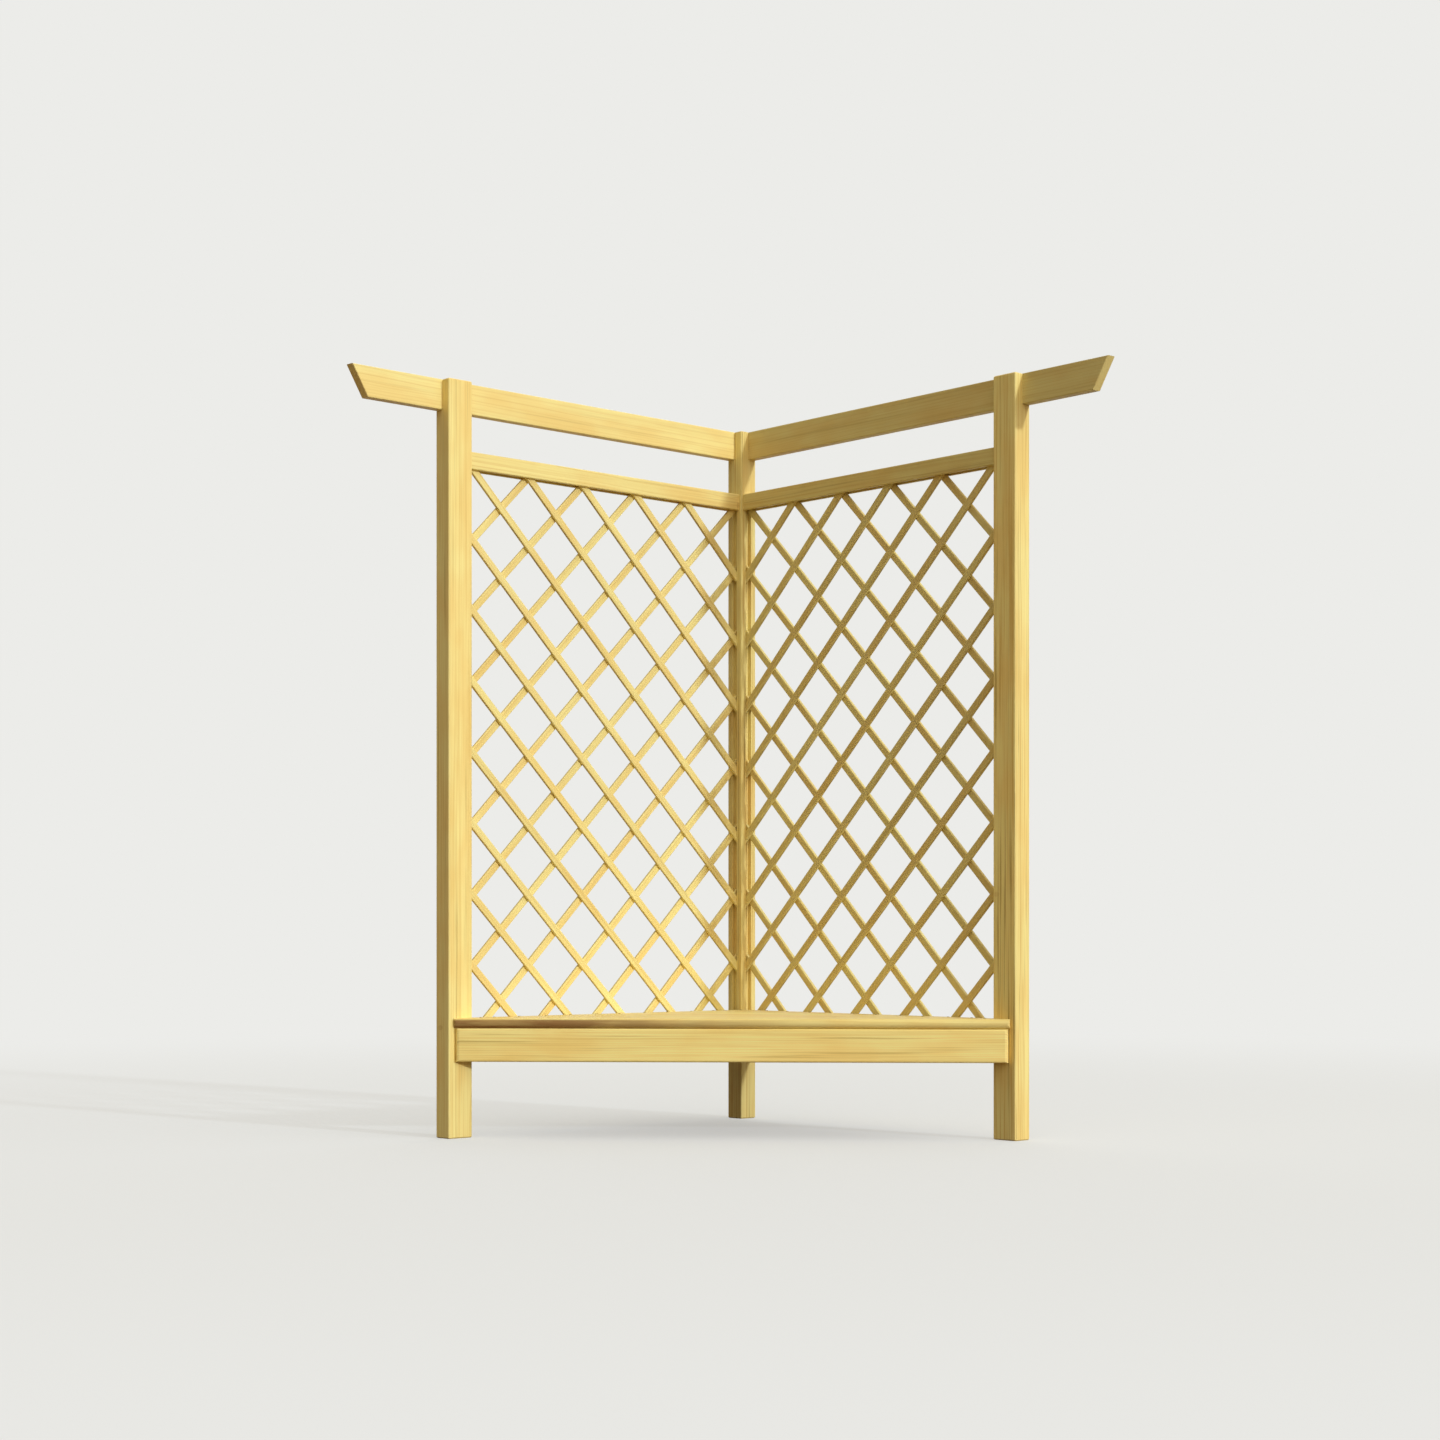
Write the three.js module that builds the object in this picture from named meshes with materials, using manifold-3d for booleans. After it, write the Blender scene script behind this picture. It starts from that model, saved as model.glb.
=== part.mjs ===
import * as THREE from "three";
import { mergeVertices } from "three/addons/utils/BufferGeometryUtils.js";
import Module from "manifold-3d";

// Corner arbour seat of pine. Two square wings of posts, rails and diagonal trellis meet at a
// rear post, a beam runs along the top of each wing, and a three-cornered seat of boards lies
// between them. Lengths are millimetres, +Z is up and the open side faces -Y. The origin is on
// the ground, under the middle of the bounding box.

// Posts
const totalHeight = 2090;
const postSpacing = 1084; // middle of the rear post to the middle of a front post
const frontPostWidth = 80; // along the wing
const frontPostDepth = 60; // through the wing
const rearPostSide = 60;
const postEasing = 4;
const postEndChamfer = 3;

// Top beams
const beamHeight = 84;
const beamThickness = 30;
const beamOverhang = 335; // middle of the front post to the tip
const beamRake = 50; // how far the sawn end leans back over the beam's height
const beamEasing = 3;

// Rails of the trellis frame
const trellisRailDrop = 108; // clear height under a top beam
const trellisRailHeight = 48;
const seatRailHeight = 92;
const railThickness = 44;
const railEasing = 3;
const grooveDepth = 12; // in posts and rails, for the ends of the laths

// Laths of the trellis, in two layers that cross
const lathWidth = 21;
const lathThickness = 10;
const lathEasing = 2.5;
const nailDiameter = 3;
const columnsShare = 10.26; // width of the opening, in half diamonds
const rowsShare = 15.67; // height of the opening, in half diamonds
const firstColumnShare = 1.21; // front post to the first whole column of crossings
const firstRowShare = 0.98; // trellis rail to the first whole row of crossings
const shortestRunShare = 1; // a run under one half diamond gets no lath

// Seat boards
const seatHeight = 331;
const seatThickness = 27;
const seatBoardCount = 6;
const seatBoardGap = 6;
const seatBoardEasing = 3;
const seatSetback = 1.5; // front edge behind the front arrises of the posts
const seatTipRadius = 8;
const lathClearance = 4; // ends of the boards to the face of the front laths

// Frame under the seat
const apronHeight = 92;
const apronThickness = 26;
const apronSetback = 1.5; // behind the front edge of the seat
const apronEasing = 6;
const apronTipRadius = 10;
const battenSide = 38;
const bearerWidth = 45;
const bearerHeight = 70;
const bearerEasing = 2;

// Fits
const contactGap = 0.3; // between faces that bear on each other
const cutOverrun = 5;

// Steps of rounded edges. An arc in a section has twice as many.
const easedSteps = 1;
const roundSteps = 2;
const noseSteps = 3;
const nailSides = 8;

// The left wing runs back to front at 45 degrees, and the right wing is its mirror image
const leftWingTurn = (-3 * Math.PI) / 4;
const rightWingTurn = -Math.PI / 4;

// Places along a wing, from the middle of the rear post
const frontPostInner = postSpacing - frontPostWidth / 2;
const frontPostOuter = postSpacing + frontPostWidth / 2;
const frontPostFace = frontPostDepth / 2;
const rearPostFace = rearPostSide / 2;
const beamTip = postSpacing + beamOverhang;

// Heights
const beamUnderside = totalHeight - beamHeight;
const notchFloor = beamUnderside - contactGap;
const aboveAll = totalHeight + cutOverrun;
const trellisRailTop = beamUnderside - trellisRailDrop;
const trellisRailUnderside = trellisRailTop - trellisRailHeight;
const seatUnderside = seatHeight - seatThickness;
const seatFrameTop = seatUnderside - contactGap;
const seatRailUnderside = seatFrameTop - seatRailHeight;

// Sections
const layerOffset = (lathThickness + contactGap) / 2;
const lathFace = lathThickness + contactGap / 2;
const grooveFace = lathFace + contactGap;
const tongueFace = grooveFace - contactGap;
const railFace = railThickness / 2;

// Lines across the seat, as distances forward of the middle of the rear post
const postFrontLine = (frontPostOuter + frontPostFace) * Math.SQRT1_2;
const seatFrontLine = postFrontLine - seatSetback;
const apronFrontLine = seatFrontLine - apronSetback;
const apronBackLine = apronFrontLine - apronThickness;
const seatRearLine = (rearPostFace + contactGap) * Math.SQRT2;
const seatDepth = seatFrontLine - seatRearLine;
const seatBoardPitch = (seatDepth + seatBoardGap) / seatBoardCount;

// Trellis pattern
const columnPitch = (frontPostInner - rearPostFace) / columnsShare;
const rowPitch = (trellisRailUnderside - seatFrameTop) / rowsShare;
const firstColumn = frontPostInner - firstColumnShare * columnPitch;
const firstRow = trellisRailUnderside - firstRowShare * rowPitch;

// Finishes of pressure-treated pine
const finishes = {
  post: { color: 0xdcbc74, roughness: 0.62, metalness: 0 },
  beam: { color: 0xe3c47e, roughness: 0.6, metalness: 0 },
  rail: { color: 0xd8b76c, roughness: 0.62, metalness: 0 },
  lath: { color: 0xe6ca84, roughness: 0.58, metalness: 0 },
  seat: { color: 0xe0c079, roughness: 0.55, metalness: 0 },
  bearer: { color: 0xcfae66, roughness: 0.66, metalness: 0 },
};

const wasm = await Module();
wasm.setup();

function solidOf(geometry) {
  const bare = new THREE.BufferGeometry();
  bare.setAttribute("position", geometry.getAttribute("position"));
  if (geometry.index) bare.setIndex(geometry.index);
  const merged = mergeVertices(bare);
  const mesh = new wasm.Mesh({
    numProp: 3,
    vertProperties: merged.attributes.position.array,
    triVerts: new Uint32Array(merged.index.array),
  });
  return new wasm.Manifold(mesh);
}

function meshOf(name, solid, finish) {
  const { numProp, vertProperties, triVerts } = solid.getMesh();
  const shared = new THREE.BufferGeometry();
  shared.setAttribute("position", new THREE.BufferAttribute(vertProperties, numProp));
  shared.setIndex(new THREE.BufferAttribute(triVerts, 1));
  const geometry = shared.toNonIndexed();
  geometry.computeVertexNormals();
  const mesh = new THREE.Mesh(geometry, new THREE.MeshStandardMaterial(finishes[finish]));
  mesh.name = name;
  return mesh;
}

// A box between its lowest and highest corners, for tongues and cuts
function block([x0, y0, z0], [x1, y1, z1]) {
  const box = new THREE.BoxGeometry(x1 - x0, y1 - y0, z1 - z0);
  return solidOf(box.translate((x0 + x1) / 2, (y0 + y1) / 2, (z0 + z1) / 2));
}

function roundedRectangle([x0, y0], [x1, y1], radius) {
  const shape = new THREE.Shape();
  shape.absarc(x1 - radius, y0 + radius, radius, -Math.PI / 2, 0);
  shape.absarc(x1 - radius, y1 - radius, radius, 0, Math.PI / 2);
  shape.absarc(x0 + radius, y1 - radius, radius, Math.PI / 2, Math.PI);
  shape.absarc(x0 + radius, y0 + radius, radius, Math.PI, (3 * Math.PI) / 2);
  return shape;
}

// A bar that runs along the first axis, with its section in the other two
const alongFirstAxis = new THREE.Matrix4().makeBasis(
  new THREE.Vector3(0, 1, 0),
  new THREE.Vector3(0, 0, 1),
  new THREE.Vector3(1, 0, 0),
);

function bar(section, from, to, curveSegments = easedSteps) {
  const depth = to - from;
  const geometry = new THREE.ExtrudeGeometry(section, { depth, curveSegments, bevelEnabled: false });
  return geometry.applyMatrix4(alongFirstAxis).translate(from, 0, 0);
}

// A board whose outline stands upright along the first axis, and whose face lies on the wing's
// plane with the thickness behind it
const standingOnWing = new THREE.Matrix4().makeBasis(
  new THREE.Vector3(1, 0, 0),
  new THREE.Vector3(0, 0, 1),
  new THREE.Vector3(0, -1, 0),
);

function standingBoard(points, thickness, easing) {
  const outline = new THREE.Shape(points.map(([along, height]) => new THREE.Vector2(along, height)));
  const geometry = new THREE.ExtrudeGeometry(outline, {
    depth: thickness - 2 * easing,
    bevelEnabled: easing > 0,
    bevelThickness: easing,
    bevelSize: easing,
    bevelOffset: -easing,
    bevelSegments: roundSteps,
  });
  return geometry.applyMatrix4(standingOnWing).translate(0, -easing, 0);
}

// Posts: an eased section with chamfered ends, upright at a place along the wing
function postBlank(place, width, depth) {
  const section = roundedRectangle([-width / 2, -depth / 2], [width / 2, depth / 2], postEasing);
  const geometry = new THREE.ExtrudeGeometry(section, {
    depth: totalHeight - 2 * postEndChamfer,
    curveSegments: roundSteps,
    bevelThickness: postEndChamfer,
    bevelSize: postEndChamfer,
    bevelOffset: -postEndChamfer,
    bevelSegments: 1,
  });
  return solidOf(geometry.translate(place, 0, postEndChamfer));
}

// A post's stopped groove runs from the seat rail to the trellis rail and takes their tongues
// and the laths
const grooveFoot = seatRailUnderside - contactGap;
const grooveHead = trellisRailTop + contactGap;

// Half of a front post's top is cut away for the beam, and the inner half stands before it
function frontPost(side) {
  const notch = block(
    [frontPostInner - cutOverrun, -frontPostFace - cutOverrun, notchFloor],
    [frontPostOuter + cutOverrun, contactGap, aboveAll],
  );
  const groove = block(
    [frontPostInner - cutOverrun, -grooveFace, grooveFoot],
    [frontPostInner + grooveDepth, grooveFace, grooveHead],
  );
  const post = postBlank(postSpacing, frontPostWidth, frontPostDepth);
  return meshOf("front_post_" + side, post.subtract(notch).subtract(groove), "post");
}

// The rear post has a groove for each wing, and one quarter of its top stands inside both beams
function rearPost() {
  const reach = rearPostFace + cutOverrun;
  const grooveFloor = rearPostFace - grooveDepth;
  const cuts = [
    block([-reach, -reach, notchFloor], [reach, contactGap, aboveAll]),
    block([-reach, -reach, notchFloor], [contactGap, reach, aboveAll]),
    block([grooveFloor, -grooveFace, grooveFoot], [reach, grooveFace, grooveHead]),
    block([-grooveFace, grooveFloor, grooveFoot], [grooveFace, reach, grooveHead]),
  ];
  const post = postBlank(0, rearPostSide, rearPostSide);
  return meshOf("rear_post", cuts.reduce((rest, cut) => rest.subtract(cut), post), "post");
}

// Top beam with a raked end, halved at the rear where the other wing's beam crosses it
function topBeam(side, lapsOver) {
  const outline = [
    [-rearPostFace, beamUnderside],
    [beamTip - beamRake, beamUnderside],
    [beamTip, totalHeight],
    [-rearPostFace, totalHeight],
  ];
  const beam = solidOf(standingBoard(outline, beamThickness, beamEasing));
  const middle = beamUnderside + beamHeight / 2;
  const lowerHalf = [beamUnderside - cutOverrun, middle + contactGap / 2];
  const upperHalf = [middle - contactGap / 2, aboveAll];
  const [cutFrom, cutTo] = lapsOver ? lowerHalf : upperHalf;
  const lap = block(
    [-rearPostFace - cutOverrun, -beamThickness - cutOverrun, cutFrom],
    [contactGap, cutOverrun, cutTo],
  );
  return meshOf("top_beam_" + side, beam.subtract(lap), "beam");
}

// A rail between the posts. Its tongues enter their grooves, and its own groove takes laths.
function rail(name, [underside, top], [grooveFrom, grooveTo]) {
  const section = roundedRectangle([-railFace, underside], [railFace, top], railEasing);
  const body = solidOf(bar(section, rearPostFace + contactGap, frontPostInner - contactGap));
  const tongues = block(
    [rearPostFace - grooveDepth + contactGap, -tongueFace, underside],
    [frontPostInner + grooveDepth - contactGap, tongueFace, top],
  );
  const groove = block(
    [rearPostFace, -grooveFace, grooveFrom],
    [frontPostInner, grooveFace, grooveTo],
  );
  return meshOf(name, body.add(tongues).subtract(groove), "rail");
}

function trellisRail(side) {
  const span = [trellisRailUnderside, trellisRailTop];
  const groove = [trellisRailUnderside - cutOverrun, trellisRailUnderside + grooveDepth];
  return rail("trellis_rail_" + side, span, groove);
}

function seatRail(side) {
  const span = [seatRailUnderside, seatFrameTop];
  const groove = [seatFrameTop - grooveDepth, seatFrameTop + cutOverrun];
  return rail("seat_rail_" + side, span, groove);
}

// Where laths lie: the opening of the frame and the grooves on its four sides
function latticeSpace() {
  const [left, right] = [rearPostFace + contactGap, frontPostInner - contactGap];
  const [bottom, top] = [seatFrameTop + contactGap, trellisRailUnderside - contactGap];
  const reach = grooveDepth - 2 * contactGap;
  const outline = [
    [left, bottom - reach],
    [right, bottom - reach],
    [right, bottom],
    [right + reach, bottom],
    [right + reach, top],
    [right, top],
    [right, top + reach],
    [left, top + reach],
    [left, top],
    [left - reach, top],
    [left - reach, bottom],
    [left, bottom],
  ];
  return solidOf(standingBoard(outline, 2 * grooveFace, 0).translate(0, grooveFace, 0));
}

// The laths of one layer. Lath number index crosses the first row two columns times index from
// the first column. Its run is the stretch inside the opening, in half diamonds from that row.
function lathLines(lean) {
  const lines = [];
  const furthest = Math.ceil(columnsShare + rowsShare);
  for (let index = -furthest; index <= furthest; index += 1) {
    const column = firstColumn + 2 * index * columnPitch;
    const sides = [rearPostFace, frontPostInner].map((side) => (lean * (side - column)) / columnPitch);
    const ends = [seatFrameTop, trellisRailUnderside].map((end) => (end - firstRow) / rowPitch);
    const from = Math.max(Math.min(...sides), ends[0]);
    const to = Math.min(Math.max(...sides), ends[1]);
    if (to - from > shortestRunShare) lines.push({ index, lean, column, run: [from, to] });
  }
  return lines;
}

function lathSolid({ lean, column }, space) {
  const slope = Math.atan2(rowPitch, lean * columnPitch);
  const reach = Math.hypot(frontPostInner, totalHeight);
  const section = roundedRectangle(
    [-lathThickness / 2, -lathWidth / 2],
    [lathThickness / 2, lathWidth / 2],
    lathEasing,
  );
  const lath = bar(section, -reach, reach).rotateY(-slope);
  return solidOf(lath.translate(column, lean * layerOffset, firstRow)).intersect(space);
}

// The nail through a crossing, with its ends hidden in both laths
function nailSolid(column, row) {
  const radius = nailDiameter / 2;
  const nail = new THREE.CylinderGeometry(radius, radius, lathThickness, nailSides);
  return solidOf(nail.translate(column, 0, row));
}

// The lath of the other layer that crosses a corner lath nearest to its middle
function carrierOf(corner, others) {
  const middle = Math.round((corner.run[0] + corner.run[1]) / 2);
  return others.find((other) => other.index === corner.index + corner.lean * middle);
}

// Front laths lean outwards as they rise, and back laths lean towards the rear post. The two
// short corner laths of each layer are nailed to the lath that carries them, as one piece.
function trellisLaths(side) {
  const space = latticeSpace();
  const front = lathLines(1);
  const back = lathLines(-1);
  const layers = [
    { layer: "front", lines: front, others: back },
    { layer: "back", lines: back, others: front },
  ];
  const carried = new Map();
  for (const { lines, others } of layers) {
    for (const corner of [lines[0], lines[lines.length - 1]]) {
      const carrier = carrierOf(corner, others);
      const column = (corner.column + carrier.column) / 2;
      const row = firstRow + corner.lean * (carrier.index - corner.index) * rowPitch;
      carried.set(carrier, lathSolid(corner, space).add(nailSolid(column, row)));
    }
  }
  return layers.flatMap(({ layer, lines }) =>
    lines.slice(1, -1).map((line, place) => {
      const name = side + "_" + layer + "_lath_" + String(place + 1).padStart(2, "0");
      const lath = lathSolid(line, space);
      const corner = carried.get(line);
      if (!corner) return meshOf(name, lath, "lath");
      return meshOf(name + "_with_corner_lath", lath.add(corner), "lath");
    }),
  );
}

// Batten on the inner face of a seat rail, under the ends of the seat boards. It runs from the
// bearer to the front post or the apron, whichever it meets first.
function seatBatten(side) {
  const inner = railFace + contactGap;
  const outer = inner + battenSide;
  const section = roundedRectangle([inner, seatFrameTop - battenSide], [outer, seatFrameTop], bearerEasing);
  const from = outer + (bearerWidth / 2 + contactGap) * Math.SQRT2;
  const to = Math.min(frontPostInner, apronBackLine * Math.SQRT2 - outer) - contactGap;
  return meshOf("seat_batten_" + side, solidOf(bar(section, from, to)), "bearer");
}

// The room for the seat, upright on its plan: the sides of the wings, the posts and a front line
// with rounded tips
function seatSpace(wingFace, frontLine, tipRadius) {
  const postSide = frontPostInner - contactGap;
  const postFace = frontPostFace + contactGap;
  const rearFace = rearPostFace + contactGap;
  const tipAcross = postFace + tipRadius;
  const tipAlong = frontLine * Math.SQRT2 - tipAcross - tipRadius * Math.SQRT2;
  const plan = new THREE.Shape();
  plan.moveTo(rearFace, rearFace);
  plan.lineTo(rearFace, wingFace);
  plan.lineTo(postSide, wingFace);
  plan.lineTo(postSide, postFace);
  plan.absarc(tipAlong, tipAcross, tipRadius, -Math.PI / 2, Math.PI / 4);
  plan.absarc(tipAcross, tipAlong, tipRadius, Math.PI / 4, Math.PI);
  plan.lineTo(postFace, postSide);
  plan.lineTo(wingFace, postSide);
  plan.lineTo(wingFace, rearFace);
  const geometry = new THREE.ExtrudeGeometry(plan, {
    depth: totalHeight,
    curveSegments: roundSteps,
    bevelEnabled: false,
  });
  return solidOf(geometry.rotateZ(leftWingTurn));
}

// Seat boards run from side to side. The first has a rounded nose, and the others eased edges.
function seatBoard(number) {
  const front = -seatFrontLine + (number - 1) * seatBoardPitch;
  const back = front + seatBoardPitch - seatBoardGap;
  const frontRadius = number === 1 ? seatThickness / 2 : seatBoardEasing;
  const section = new THREE.Shape();
  section.absarc(front + frontRadius, seatHeight - frontRadius, frontRadius, Math.PI / 2, Math.PI);
  section.absarc(front + frontRadius, seatUnderside + frontRadius, frontRadius, Math.PI, 1.5 * Math.PI);
  section.absarc(back - seatBoardEasing, seatUnderside + seatBoardEasing, seatBoardEasing, -Math.PI / 2, 0);
  section.absarc(back - seatBoardEasing, seatHeight - seatBoardEasing, seatBoardEasing, 0, Math.PI / 2);
  const steps = number === 1 ? noseSteps : easedSteps;
  const board = solidOf(bar(section, -postFrontLine, postFrontLine, steps));
  const space = seatSpace(lathFace + lathClearance, seatFrontLine, seatTipRadius);
  return meshOf("seat_board_" + number, board.intersect(space), "seat");
}

function underSeatSpace() {
  return seatSpace(railFace + contactGap, apronFrontLine, apronTipRadius);
}

// Apron under the seat's front edge, mitred to the inner faces of the front posts
function seatApron() {
  const low = [-apronFrontLine, seatFrameTop - apronHeight];
  const high = [-apronBackLine, seatFrameTop];
  const section = roundedRectangle(low, high, apronEasing);
  const board = solidOf(bar(section, -postFrontLine, postFrontLine, roundSteps));
  return meshOf("seat_apron", board.intersect(underSeatSpace()), "beam");
}

// Bearer under the middle of the seat. It is notched to fit the rear post's inner arris.
function seatBearer() {
  const low = [-bearerWidth / 2, seatFrameTop - bearerHeight];
  const high = [bearerWidth / 2, seatFrameTop];
  const section = roundedRectangle(low, high, bearerEasing);
  const blank = bar(section, 0, apronBackLine - contactGap).rotateZ(-Math.PI / 2);
  return meshOf("seat_bearer", solidOf(blank).intersect(underSeatSpace()), "bearer");
}

function wing(side, lapsOver) {
  const group = new THREE.Group();
  group.add(frontPost(side), topBeam(side, lapsOver), trellisRail(side), seatRail(side));
  group.add(...trellisLaths(side), seatBatten(side));
  return group;
}

const leftWing = wing("left", false);
leftWing.add(rearPost());
leftWing.rotation.z = leftWingTurn;

const rightWing = wing("right", true);
rightWing.rotation.z = rightWingTurn;
rightWing.scale.y = -1;

const seat = new THREE.Group();
for (let number = 1; number <= seatBoardCount; number += 1) seat.add(seatBoard(number));
seat.add(seatApron(), seatBearer());

// The whole is set down on the ground with its bounding box over the origin
const arbour = new THREE.Group();
arbour.add(leftWing, rightWing, seat);
const bounds = new THREE.Box3().setFromObject(arbour, true);
const middle = bounds.getCenter(new THREE.Vector3());
for (const part of arbour.children) part.position.set(-middle.x, -middle.y, -bounds.min.z);

export default arbour;
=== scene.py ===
"""Corner arbour seat of planed pine: its finishes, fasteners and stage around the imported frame.

The frame is the CAD model. Its boards keep their shapes and get pine here, and the screws, pins
and brads that hold them are modelled on them. Lengths are metres, +Z is up, -Y is the open side.
"""

import math
import random

import bmesh
import bpy
from bpy.props import FloatProperty, FloatVectorProperty, PointerProperty
from mathutils import Matrix, Vector


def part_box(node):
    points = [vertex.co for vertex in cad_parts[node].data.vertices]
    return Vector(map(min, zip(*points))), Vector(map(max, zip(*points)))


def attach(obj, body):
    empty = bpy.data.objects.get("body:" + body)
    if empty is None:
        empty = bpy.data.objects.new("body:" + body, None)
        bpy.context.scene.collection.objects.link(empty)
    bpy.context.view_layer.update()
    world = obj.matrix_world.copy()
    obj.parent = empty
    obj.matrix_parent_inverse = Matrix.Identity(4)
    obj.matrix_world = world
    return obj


bl_info = {
    "name": "Arbour seat",
    "version": (1, 0, 0),
    "blender": (4, 5, 0),
    "location": "3D View > Sidebar > Arbour seat",
    "description": "Pine, fasteners and a studio stage for a corner arbour seat",
    "category": "Object",
}

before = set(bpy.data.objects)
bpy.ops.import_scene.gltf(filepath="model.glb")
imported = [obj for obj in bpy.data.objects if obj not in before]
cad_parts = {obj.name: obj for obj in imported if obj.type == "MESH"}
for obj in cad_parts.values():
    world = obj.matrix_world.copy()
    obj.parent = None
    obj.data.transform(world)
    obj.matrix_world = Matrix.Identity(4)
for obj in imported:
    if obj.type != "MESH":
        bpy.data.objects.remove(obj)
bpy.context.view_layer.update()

MILLIMETRE = 0.001
UP = Vector((0, 0, 1))
FRONT = Vector((0, -1, 0))
RIGHT = Vector((1, 0, 0))

# The two wings run forward and outward from the rear post. The sitter is on their inward side.
OUTWARD = {
    "left": Vector((-1, -1, 0)).normalized(),
    "right": Vector((1, -1, 0)).normalized(),
}
INWARD = {"left": OUTWARD["right"], "right": OUTWARD["left"]}

# Laths
LATH_RISE = math.radians(44.96)
LAYER_EDGE = 5.2 * MILLIMETRE  # past the ends of the hidden nails, from the middle of a wing
CROSSING_MARGIN = 6 * MILLIMETRE  # least distance of a brad from the end of a lath

# Noise on a board: its pace along the grain, across the face and through the board, per metre
WAVER = (1.1, 9, 9)
RIPPLE = (7, 55, 55)
FIBRE = (9, 620, 620)
VEIN = (1.6, 120, 120)
BAND = (1.3, 34, 34)
DRIFT = (4.5, 11, 11)
PATCH = (7, 60, 60)

# Noise on zinc, per metre
BLOOM = (900, 900, 900)
TARNISH = (160, 160, 160)

# Year rings: how far noise moves them, and its pace across them, per metre
WAVER_REACH = 16 * MILLIMETRE
RIPPLE_REACH = 1.6 * MILLIMETRE
SWIRL_REACH = 5 * MILLIMETRE
PACE_REACH = 4 * MILLIMETRE
PACE = 60
DEPTH_PACE = 140
RING_SHARPNESS = 3

# Knots
KNOT_SPACING = 0.42  # along the grain
KNOT_TURN = 5  # radians round the pith
KNOT_RADIUS = 21 * MILLIMETRE  # on a wide board
WIDE_HALF = 30 * MILLIMETRE  # half the width of a wide board
HEART = 0.55  # the solid part of a knot, as a share of its radius
SWIRL = 4.5  # how far a knot pushes the rings aside, in radii

# How strongly each mark of the grain tints the wood
BAND_TINT = 0.22
VEIN_TINT = 0.25
FIBRE_TINT = 0.12
SWIRL_TINT = 0.25
KNOT_TINT = 0.7
END_TINT = 0.4

# How high each mark stands in the relief, and how much it dulls the surface
RING_HEIGHT = 0.5
FIBRE_HEIGHT = 0.55
VEIN_HEIGHT = 0.3
KNOT_SINK = 0.2
FIBRE_DULLNESS = 0.14
END_DULLNESS = 0.14
RING_GLOSS = 0.07

# How far boards differ from each other
LEVEL_SPREAD = 0.035
WARMTH_SPREAD = 0.02

# Worn arrises that also carry a painted highlight, and the stain along the seat's front edge with
# painted shade below its rounded top
ARRIS_FROM = 5 * MILLIMETRE
ARRIS_TO = 1 * MILLIMETRE
STAIN_AND_SHADE_FROM = 16 * MILLIMETRE
STAIN_AND_SHADE_TO = 6 * MILLIMETRE
STAIN_AND_SHADE_DEPTH = 6 * MILLIMETRE  # from the top, where it has its full strength

# How far the heads of the fasteners stand out of the wood
SEAT_SCREW_RISE = 0.5 * MILLIMETRE
SCREW_RISE = 1.1 * MILLIMETRE
PIN_RISE = 0.6 * MILLIMETRE
BRAD_RISE = 0.5 * MILLIMETRE
ROLL_STEP = 37  # degrees that each head is turned on from the one before


def corners(name):
    """The corners of a piece of the frame."""
    return [vertex.co.copy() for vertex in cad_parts[name].data.vertices]


def names_with(*parts):
    """The names of the frame's pieces that hold one of the parts, in order."""
    found = [name for name in sorted(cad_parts) if any(part in name for part in parts)]
    if not found:
        raise RuntimeError("The frame has no node named with " + " or ".join(parts))
    return found


REAR_POST = Vector((0, sum(corner.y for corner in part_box("rear_post")) / 2, 0))


def layer_depth(side, point):
    """How far a point lies towards the sitter from the middle of a wing."""
    return (point - REAR_POST).dot(INWARD[side])


def wing_reach(side, point):
    """How far a point lies along a wing from the middle of the rear post."""
    return (point - REAR_POST).dot(OUTWARD[side])


# Half the rear post, and where a front post begins and has its middle along a wing
POST_HALF = max(layer_depth("left", point) for point in corners("rear_post"))
front_post_span = [wing_reach("left", point) for point in corners("front_post_left")]
FRONT_POST_INNER = min(front_post_span)
FRONT_POST_MIDDLE = (FRONT_POST_INNER + max(front_post_span)) / 2


def on_wing(side, outward, inward, height):
    """A point by its place along a wing, its depth towards the sitter and its height."""
    return REAR_POST + outward * OUTWARD[side] + inward * INWARD[side] + height * UP


def linear(red, green, blue):
    """A colour given in the 0 to 255 steps of a screen, as scene colour."""
    steps = (red / 255, green / 255, blue / 255)
    return tuple(c / 12.92 if c <= 0.04045 else ((c + 0.055) / 1.055) ** 2.4 for c in steps)


def colour(name, description, value):
    return FloatVectorProperty(
        name=name, description=description, default=value, subtype="COLOR", min=0, max=1
    )


def length(name, description, value):
    return FloatProperty(name=name, description=description, default=value, unit="LENGTH", min=0)


def share(name, description, value):
    return FloatProperty(
        name=name, description=description, default=value, subtype="FACTOR", min=0, max=1
    )


def strength(name, description, value):
    return FloatProperty(name=name, description=description, default=value, min=0)


def angle(name, description, degrees):
    value = math.radians(degrees)
    return FloatProperty(name=name, description=description, default=value, subtype="ANGLE")


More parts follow.
